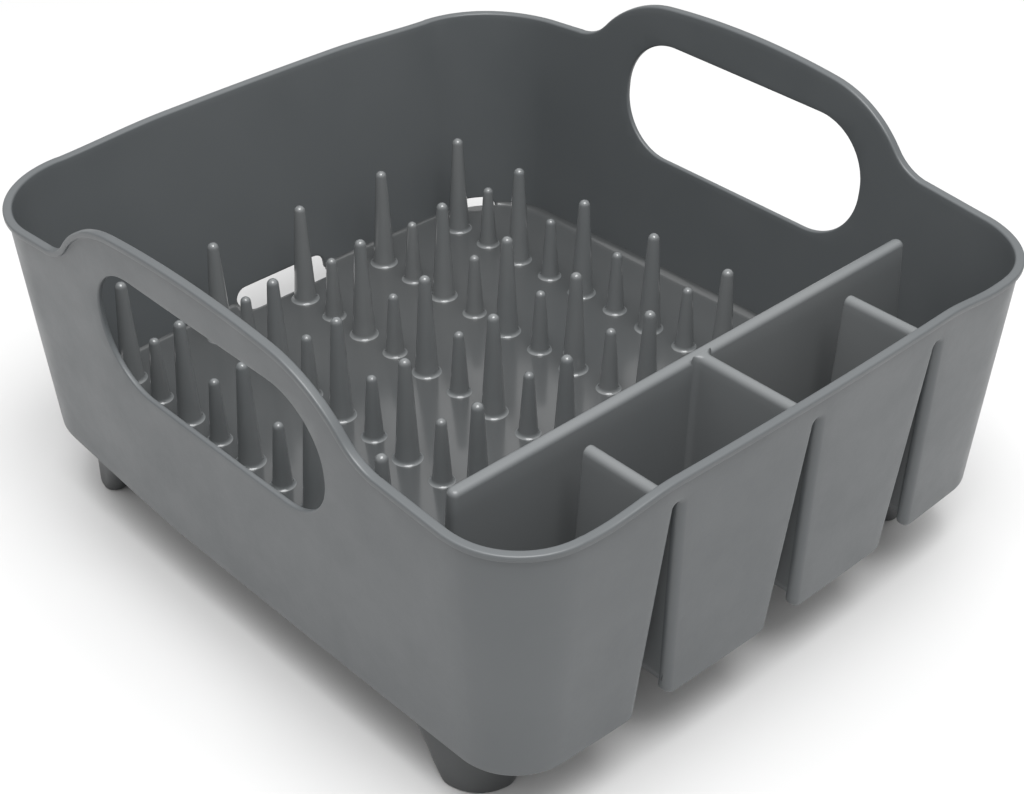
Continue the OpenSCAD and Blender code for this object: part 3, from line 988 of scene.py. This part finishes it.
def make_basin_floor(material):
    """Sloping floor with its curve up the wall, its drain edges and its step down to the cutlery."""
    b = Builder()
    edge_y = DIVIDER_Y + BASIN_EDGE_BEHIND
    s_left, s_right = side_ends(edge_y, WALL + SIDE_CURVE_R, FLOOR_MID_Z)
    gaps = basin_gaps()
    s_values = places_with(s_right, s_left + AROUND, gaps)
    rows = wall_curve_rows(s_values, basin_z, basin_curve)
    add_wall_curve(b, rows, s_values, gaps)

    ring, free = basin_outline(s_values, rows[0][:, :2], gaps)
    front = resample(np.array([ring[-1], ring[0]]), FLOOR_FRONT_STEP)[1:-1]
    outer = np.vstack([ring, front])
    free += [False] * len(front)
    add_floor_slab(b, outer, free, floor_grid(*BASIN_SPAN), basin_z, BASIN_CLEAR)

    line = np.vstack([ring[-1:], front, ring[:1]])
    step_h = basin_z(edge_y) - CUTLERY_Z + FLOOR_T
    section = [(0.0, 0.0), (0.7, 0.15), (1.3, 0.6), (1.6, 1.3), (1.9, step_h)]
    b.grid([np.column_stack([line[:, 0], line[:, 1] - out, basin_z(line[:, 1]) - drop])
            for out, drop in section])
    put("basin_floor_skin", b, material, ("basin_floor",))


def cutlery_gaps(depth):
    """Stretches of the front wall with a fin as (from, to, y where the fin's hollow ends)."""
    half = fin_curve(FIN_EDGE_OUT, CUTLERY_Z)[-1][0]
    gaps = []
    for x in (-FIN_X, 0.0, FIN_X):
        ends = [find_s(x + side * half, 0, ARC_STARTS[FRONT], ARC_STARTS[FRONT + 1], depth, CUTLERY_Z)
                for side in (-1, 1)]
        gaps.append((*ends, DIVIDER_Y if x == 0 else FIN_END_Y - SHEET_T))
    return gaps


def cutlery_outline(s_values, ring, gaps):
    """Boundary of the cutlery floor along the wall, cut back where the fins' hollows are."""
    outline = []
    for i, s in enumerate(s_values):
        start = [gap for gap in gaps if abs(s - gap[0]) < SAME_PLACE]
        if start:
            _, gap_end, hollow_y = start[0]
            stop = int(np.argmin(abs(s_values - gap_end)))
            out, back = (np.column_stack([np.full(12, ring[k][0]), np.linspace(ring[k][1], hollow_y, 12)])
                         for k in (i, stop))
            outline.append(np.vstack([out, back[::-1]]))
        elif not any(gap[0] < s <= gap[1] + SAME_PLACE for gap in gaps):
            outline.append([ring[i]])
    return np.vstack(outline)


def make_cutlery_floor(material):
    """Level floor of the four cutlery compartments, with its curve up the wall."""
    b = Builder()
    depth = WALL + CUTLERY_CURVE_R
    s_left, s_right = side_ends(DIVIDER_Y + CUTLERY_EDGE_BEHIND, depth, CUTLERY_Z)
    gaps = cutlery_gaps(depth)
    s_values = places_with(s_left, s_right, gaps)
    rows = wall_curve_rows(s_values, cutlery_level, cutlery_curve)
    add_wall_curve(b, rows, s_values, gaps)

    ring = cutlery_outline(s_values, rows[0][:, :2], gaps)
    back = resample(np.array([ring[-1], ring[0]]), FLOOR_FRONT_STEP)[1:-1]
    outer = np.vstack([ring, back])
    free = [False] * len(outer)
    add_floor_slab(b, outer, free, floor_grid(*CUTLERY_SPAN), cutlery_level, CUTLERY_CLEAR)
    put("cutlery_floor_skin", b, material, ("cutlery_floor",))


# ---------------- pegs
def peg_section(height, base_r, tip_r):
    """Half section of a peg as (radius, height) pairs: fillet, taper and rounded tip."""
    pts = [(base_r + PEG_FILLET * (1 - math.sin(a)), PEG_FILLET * (1 - math.cos(a)) - PEG_SINK)
           for a in quarter(FILLET_ROWS)]
    start = pts[-1]
    neck_z = height - tip_r
    pts += [(mix(start[0], tip_r, t), mix(start[1], neck_z, t)) for t in np.linspace(0, 1, 7)[1:]]
    pts += [(max(PEG_TOP_R, tip_r * math.cos(a)), neck_z + tip_r * math.sin(a)) for a in quarter(7)[1:]]
    return pts


def make_peg_row(row, material):
    """Nine pegs from front to back, tall and short in turn, whose fillets follow the sloping floor."""
    b = Builder()
    x = (row - (ROWS - 1) / 2) * ROW_PITCH
    turn = np.linspace(0, 2 * math.pi, PEG_SIDES + 1)[:-1]
    for i in range(PEGS_IN_ROW):
        y = FLOOR_MID_Y + (i - (PEGS_IN_ROW - 1) / 2) * PEG_PITCH
        rings = []
        for k, (r, z) in enumerate(peg_section(*(TALL if i % 2 == 0 else SHORT))):
            ring_x = x + r * np.cos(turn)
            ring_y = y + r * np.sin(turn)
            tilt = (basin_z(ring_y) - basin_z(y)) * max(0.0, 1 - k / FILLET_ROWS)
            rings.append(np.column_stack([ring_x, ring_y, basin_z(y) + z + tilt]))
        b.grid(rings, True)
    put("pegs_%d" % (row + 1), b, material, ("peg_row_%d" % (row + 1),))


# ---------------- feet
def foot_outline(half_t, from_a, reach):
    """Closed outline of a blade: an arc round the corner centre, straight for a reach past both ends."""
    first = math.radians(from_a) + FOOT_SHORT
    last = math.radians(from_a + 90) - FOOT_SHORT
    onward = np.array([-math.sin(last), math.cos(last)]) * reach
    back = np.array([math.sin(first), -math.cos(first)]) * reach
    start = np.array([math.cos(first), math.sin(first)]) * FOOT_MID_R + back
    end = np.array([math.cos(last), math.sin(last)]) * FOOT_MID_R + onward
    return np.vstack([
        arc2d((0, 0), FOOT_MID_R + half_t, first, last, FOOT_ARC_POINTS),
        arc2d(end, half_t, last, last + math.pi, FOOT_END_POINTS),
        arc2d((0, 0), FOOT_MID_R - half_t, last, first, FOOT_ARC_POINTS),
        arc2d(start, half_t, first + math.pi, first + 2 * math.pi, FOOT_END_POINTS),
    ])


def make_foot(name, centre, side, mirror, material, node):
    """Curved blade whose ends flare upwards, rounded at the worktop and let into the floors above."""
    b = Builder()
    top = CUTLERY_Z - FOOT_SINK
    levels = [(FOOT_ROUND_R * (1 - math.cos(a)), FOOT_ROUND_R * (1 - math.sin(a))) for a in quarter(8)]
    levels += [(z, 0.0) for z in np.linspace(FOOT_ROUND_R, top, FOOT_LEVELS)[1:]]
    from_a = -90 if side < 0 else 0
    rings = []
    for z, pull in levels:
        ring = foot_outline(FOOT_HALF_T - pull, from_a, FOOT_END_L + z * FOOT_FLARE) + centre
        under = np.where(ring[:, 1] < DIVIDER_Y, CUTLERY_Z, basin_z(ring[:, 1])) - FOOT_SINK
        rings.append(np.column_stack([ring[:, 0] * mirror, ring[:, 1], z * under / top]))
    ids = b.grid(rings, True)
    b.cap(rings[0], ids[0])
    b.cap(rings[-1], ids[-1])
    put(name, b, material, (node,), FOOT_WELD)


# ---------------- materials
NOISE_LOW = 0.35
NOISE_HIGH = 0.65


def plastic(name, base, tint, roughness, grain, coat):
    """Moulded polypropylene: soft colour drift, fine orange peel, faint smears and a slow swell."""
    m = bpy.data.materials.new(name)
    m.use_nodes = True
    nodes = m.node_tree.nodes
    link = m.node_tree.links.new
    shader = nodes["Principled BSDF"]
    coords = nodes.new("ShaderNodeTexCoord")

    def noise(scale, detail, rough):
        """Output of a noise texture in the part's own space."""
        node = nodes.new("ShaderNodeTexNoise")
        node.inputs["Scale"].default_value = scale
        node.inputs["Detail"].default_value = detail
        node.inputs["Roughness"].default_value = rough
        link(coords.outputs["Object"], node.inputs["Vector"])
        return node.outputs["Fac"]

    def bump(height, strength, distance):
        """Bump node driven by a height."""
        node = nodes.new("ShaderNodeBump")
        node.inputs["Strength"].default_value = strength
        node.inputs["Distance"].default_value = distance
        link(height, node.inputs["Height"])
        return node

    ramp = nodes.new("ShaderNodeValToRGB")
    for stop, place, colour in zip(ramp.color_ramp.elements, (NOISE_LOW, NOISE_HIGH), (base, tint)):
        stop.position = place
        stop.color = (*colour, 1.0)
    link(noise(scale=9.0, detail=3.0, rough=0.5), ramp.inputs["Fac"])
    link(ramp.outputs["Color"], shader.inputs["Base Color"])

    smear = nodes.new("ShaderNodeMapRange")
    smear.inputs["From Min"].default_value = NOISE_LOW
    smear.inputs["From Max"].default_value = NOISE_HIGH
    smear.inputs["To Min"].default_value = roughness * 0.88
    smear.inputs["To Max"].default_value = roughness * 1.14
    link(noise(scale=38.0, detail=6.0, rough=0.65), smear.inputs["Value"])
    link(smear.outputs["Result"], shader.inputs["Roughness"])

    peel = nodes.new("ShaderNodeMath")
    peel.operation = "MULTIPLY_ADD"
    peel.inputs[1].default_value = 0.35
    link(noise(scale=2600.0, detail=2.0, rough=0.5), peel.inputs[0])
    link(noise(scale=420.0, detail=2.0, rough=0.4), peel.inputs[2])
    skin = bump(peel.outputs["Value"], grain, 0.0001)
    swell = bump(noise(scale=26.0, detail=1.0, rough=0.3), 0.12, 0.0006)
    link(skin.outputs["Normal"], swell.inputs["Normal"])
    link(swell.outputs["Normal"], shader.inputs["Normal"])

    shader.inputs["IOR"].default_value = 1.49
    shader.inputs["Coat Weight"].default_value = coat
    shader.inputs["Coat Roughness"].default_value = 0.12
    return m


def pale_floor():
    """Plain matt surface under the rack."""
    m = bpy.data.materials.new("pale_floor")
    m.use_nodes = True
    shader = m.node_tree.nodes["Principled BSDF"]
    shader.inputs["Base Color"].default_value = (0.58, 0.58, 0.58, 1.0)
    shader.inputs["Roughness"].default_value = 0.6
    return m


# ---------------- build
wall_mat = plastic("wall_plastic_satin", base=(0.077, 0.084, 0.088), tint=(0.088, 0.095, 0.099),
                   roughness=0.38, grain=0.22, coat=0.05)
# Dividers and fins: painted light. This is the wall plastic made lighter for the light that their upward
# faces catch.
divider_painted_light_mat = plastic("divider_plastic_satin_painted_light", base=(0.1209, 0.1287, 0.1326), tint=(0.1391, 0.1456, 0.1482),
                      roughness=0.36, grain=0.2, coat=0.08)
# Floors: painted shade. This is the wall plastic made darker for the shade inside the tub. Their higher
# gloss is their own.
floor_painted_shade_mat = plastic("floor_plastic_gloss_painted_shade", base=(0.0558, 0.0594, 0.0612), tint=(0.0642, 0.0672, 0.0684),
                    roughness=0.16, grain=0.06, coat=0.4)
# Pegs: painted light. This is the wall plastic made lighter for the light falling on the pegs. Their higher
# gloss is their own.
peg_painted_light_mat = plastic("peg_plastic_gloss_painted_light", base=(0.1209, 0.1287, 0.1326), tint=(0.1391, 0.1456, 0.1482),
                  roughness=0.18, grain=0.06, coat=0.4)
# Feet: painted shade. This is the wall plastic made darker for the shadow under the tub.
foot_painted_shade_mat = plastic("foot_plastic_satin_painted_shade", base=(0.0512, 0.0544, 0.0561), tint=(0.0589, 0.0616, 0.0627),
                   roughness=0.45, grain=0.3, coat=0.0)

make_shell(wall_mat)
make_fin("middle_divider_skin", 0.0, DIVIDER_Y, True, divider_painted_light_mat, "middle_divider")
make_fin("left_fin_skin", -FIN_X, FIN_END_Y, False, divider_painted_light_mat, "left_fin")
make_fin("right_fin_skin", FIN_X, FIN_END_Y, False, divider_painted_light_mat, "right_fin")
make_long_divider(divider_painted_light_mat)
make_basin_floor(floor_painted_shade_mat)
make_cutlery_floor(floor_painted_shade_mat)
for row in range(ROWS):
    make_peg_row(row, peg_painted_light_mat)
for label, centre, side in (("front", FRONT_FOOT_C, -1), ("back", BACK_FOOT_C, 1)):
    for hand, mirror in (("left", -1), ("right", 1)):
        node = "%s_%s_foot" % (label, hand)
        make_foot(node + "_skin", centre, side, mirror, foot_painted_shade_mat, node)


# ---------------- stage, light and camera
STAGE_HALF = 6.0
HORIZON_LIGHT = 0.2
ZENITH_LIGHT = 1.6
LAMP_PLACE = (-0.3, -0.5, 1.9)
LAMP_AIM = (0.0, 0.0, 0.1)
LAMP_SIZE = 1.2
LAMP_POWER = 40.0
CAMERA_PLACE_MM = (-482.9, -522.6, 562.7)
CAMERA_AZIMUTH = math.radians(-43.221)
CAMERA_ELEVATION = math.radians(35.414)
CAMERA_ROLL = math.radians(0.305)
CAMERA_LENS = 67.18
CAMERA_SENSOR = 36.0


def make_stage():
    """Large worktop that the rack stands on."""
    h = STAGE_HALF
    mesh = bpy.data.meshes.new("worktop")
    mesh.from_pydata([(-h, -h, 0), (h, -h, 0), (h, h, 0), (-h, h, 0)], [], [(0, 1, 2, 3)])
    mesh.materials.append(pale_floor())
    obj = bpy.data.objects.new("worktop", mesh)
    bpy.context.scene.collection.objects.link(obj)


def make_world():
    """White surroundings that grow brighter from the horizon to overhead."""
    world = bpy.data.worlds.new("studio")
    world.use_nodes = True
    tree = world.node_tree
    background = tree.nodes["Background"]
    background.inputs["Color"].default_value = (1.0, 1.0, 1.0, 1.0)
    coords = tree.nodes.new("ShaderNodeTexCoord")
    split = tree.nodes.new("ShaderNodeSeparateXYZ")
    climb = tree.nodes.new("ShaderNodeMapRange")
    climb.inputs["To Min"].default_value = HORIZON_LIGHT
    climb.inputs["To Max"].default_value = ZENITH_LIGHT
    tree.links.new(coords.outputs["Generated"], split.inputs["Vector"])
    tree.links.new(split.outputs["Z"], climb.inputs["Value"])
    tree.links.new(climb.outputs["Result"], background.inputs["Strength"])
    bpy.context.scene.world = world
    bpy.context.scene.view_settings.view_transform = "Standard"


def make_lamp():
    """One large soft light above and in front of the rack."""
    data = bpy.data.lights.new("top", "AREA")
    data.shape = "RECTANGLE"
    data.size = LAMP_SIZE
    data.size_y = LAMP_SIZE
    data.energy = LAMP_POWER
    obj = bpy.data.objects.new("top", data)
    obj.location = LAMP_PLACE
    obj.rotation_euler = (Vector(LAMP_AIM) - Vector(LAMP_PLACE)).to_track_quat("-Z", "Y").to_euler()
    bpy.context.scene.collection.objects.link(obj)


def make_camera():
    """Camera in front and to the left of the rack, turned by azimuth, elevation and a slight roll."""
    az, el, roll = CAMERA_AZIMUTH, CAMERA_ELEVATION, CAMERA_ROLL
    data = bpy.data.cameras.new("camera")
    data.sensor_width = CAMERA_SENSOR
    data.lens = CAMERA_LENS
    data.clip_start = 0.05
    data.clip_end = 50.0
    cam = bpy.data.objects.new("camera", data)
    back = Vector((math.sin(az) * math.cos(el), -math.cos(az) * math.cos(el), math.sin(el)))
    level_right = Vector((math.cos(az), math.sin(az), 0.0))
    level_up = back.cross(level_right)
    right = math.cos(roll) * level_right + math.sin(roll) * level_up
    up = -math.sin(roll) * level_right + math.cos(roll) * level_up
    turn = Matrix((right, up, back)).transposed().to_4x4()
    cam.matrix_world = Matrix.Translation(Vector(CAMERA_PLACE_MM) * MM) @ turn
    bpy.context.scene.collection.objects.link(cam)
    bpy.context.scene.camera = cam


make_stage()
make_world()
make_lamp()
make_camera()
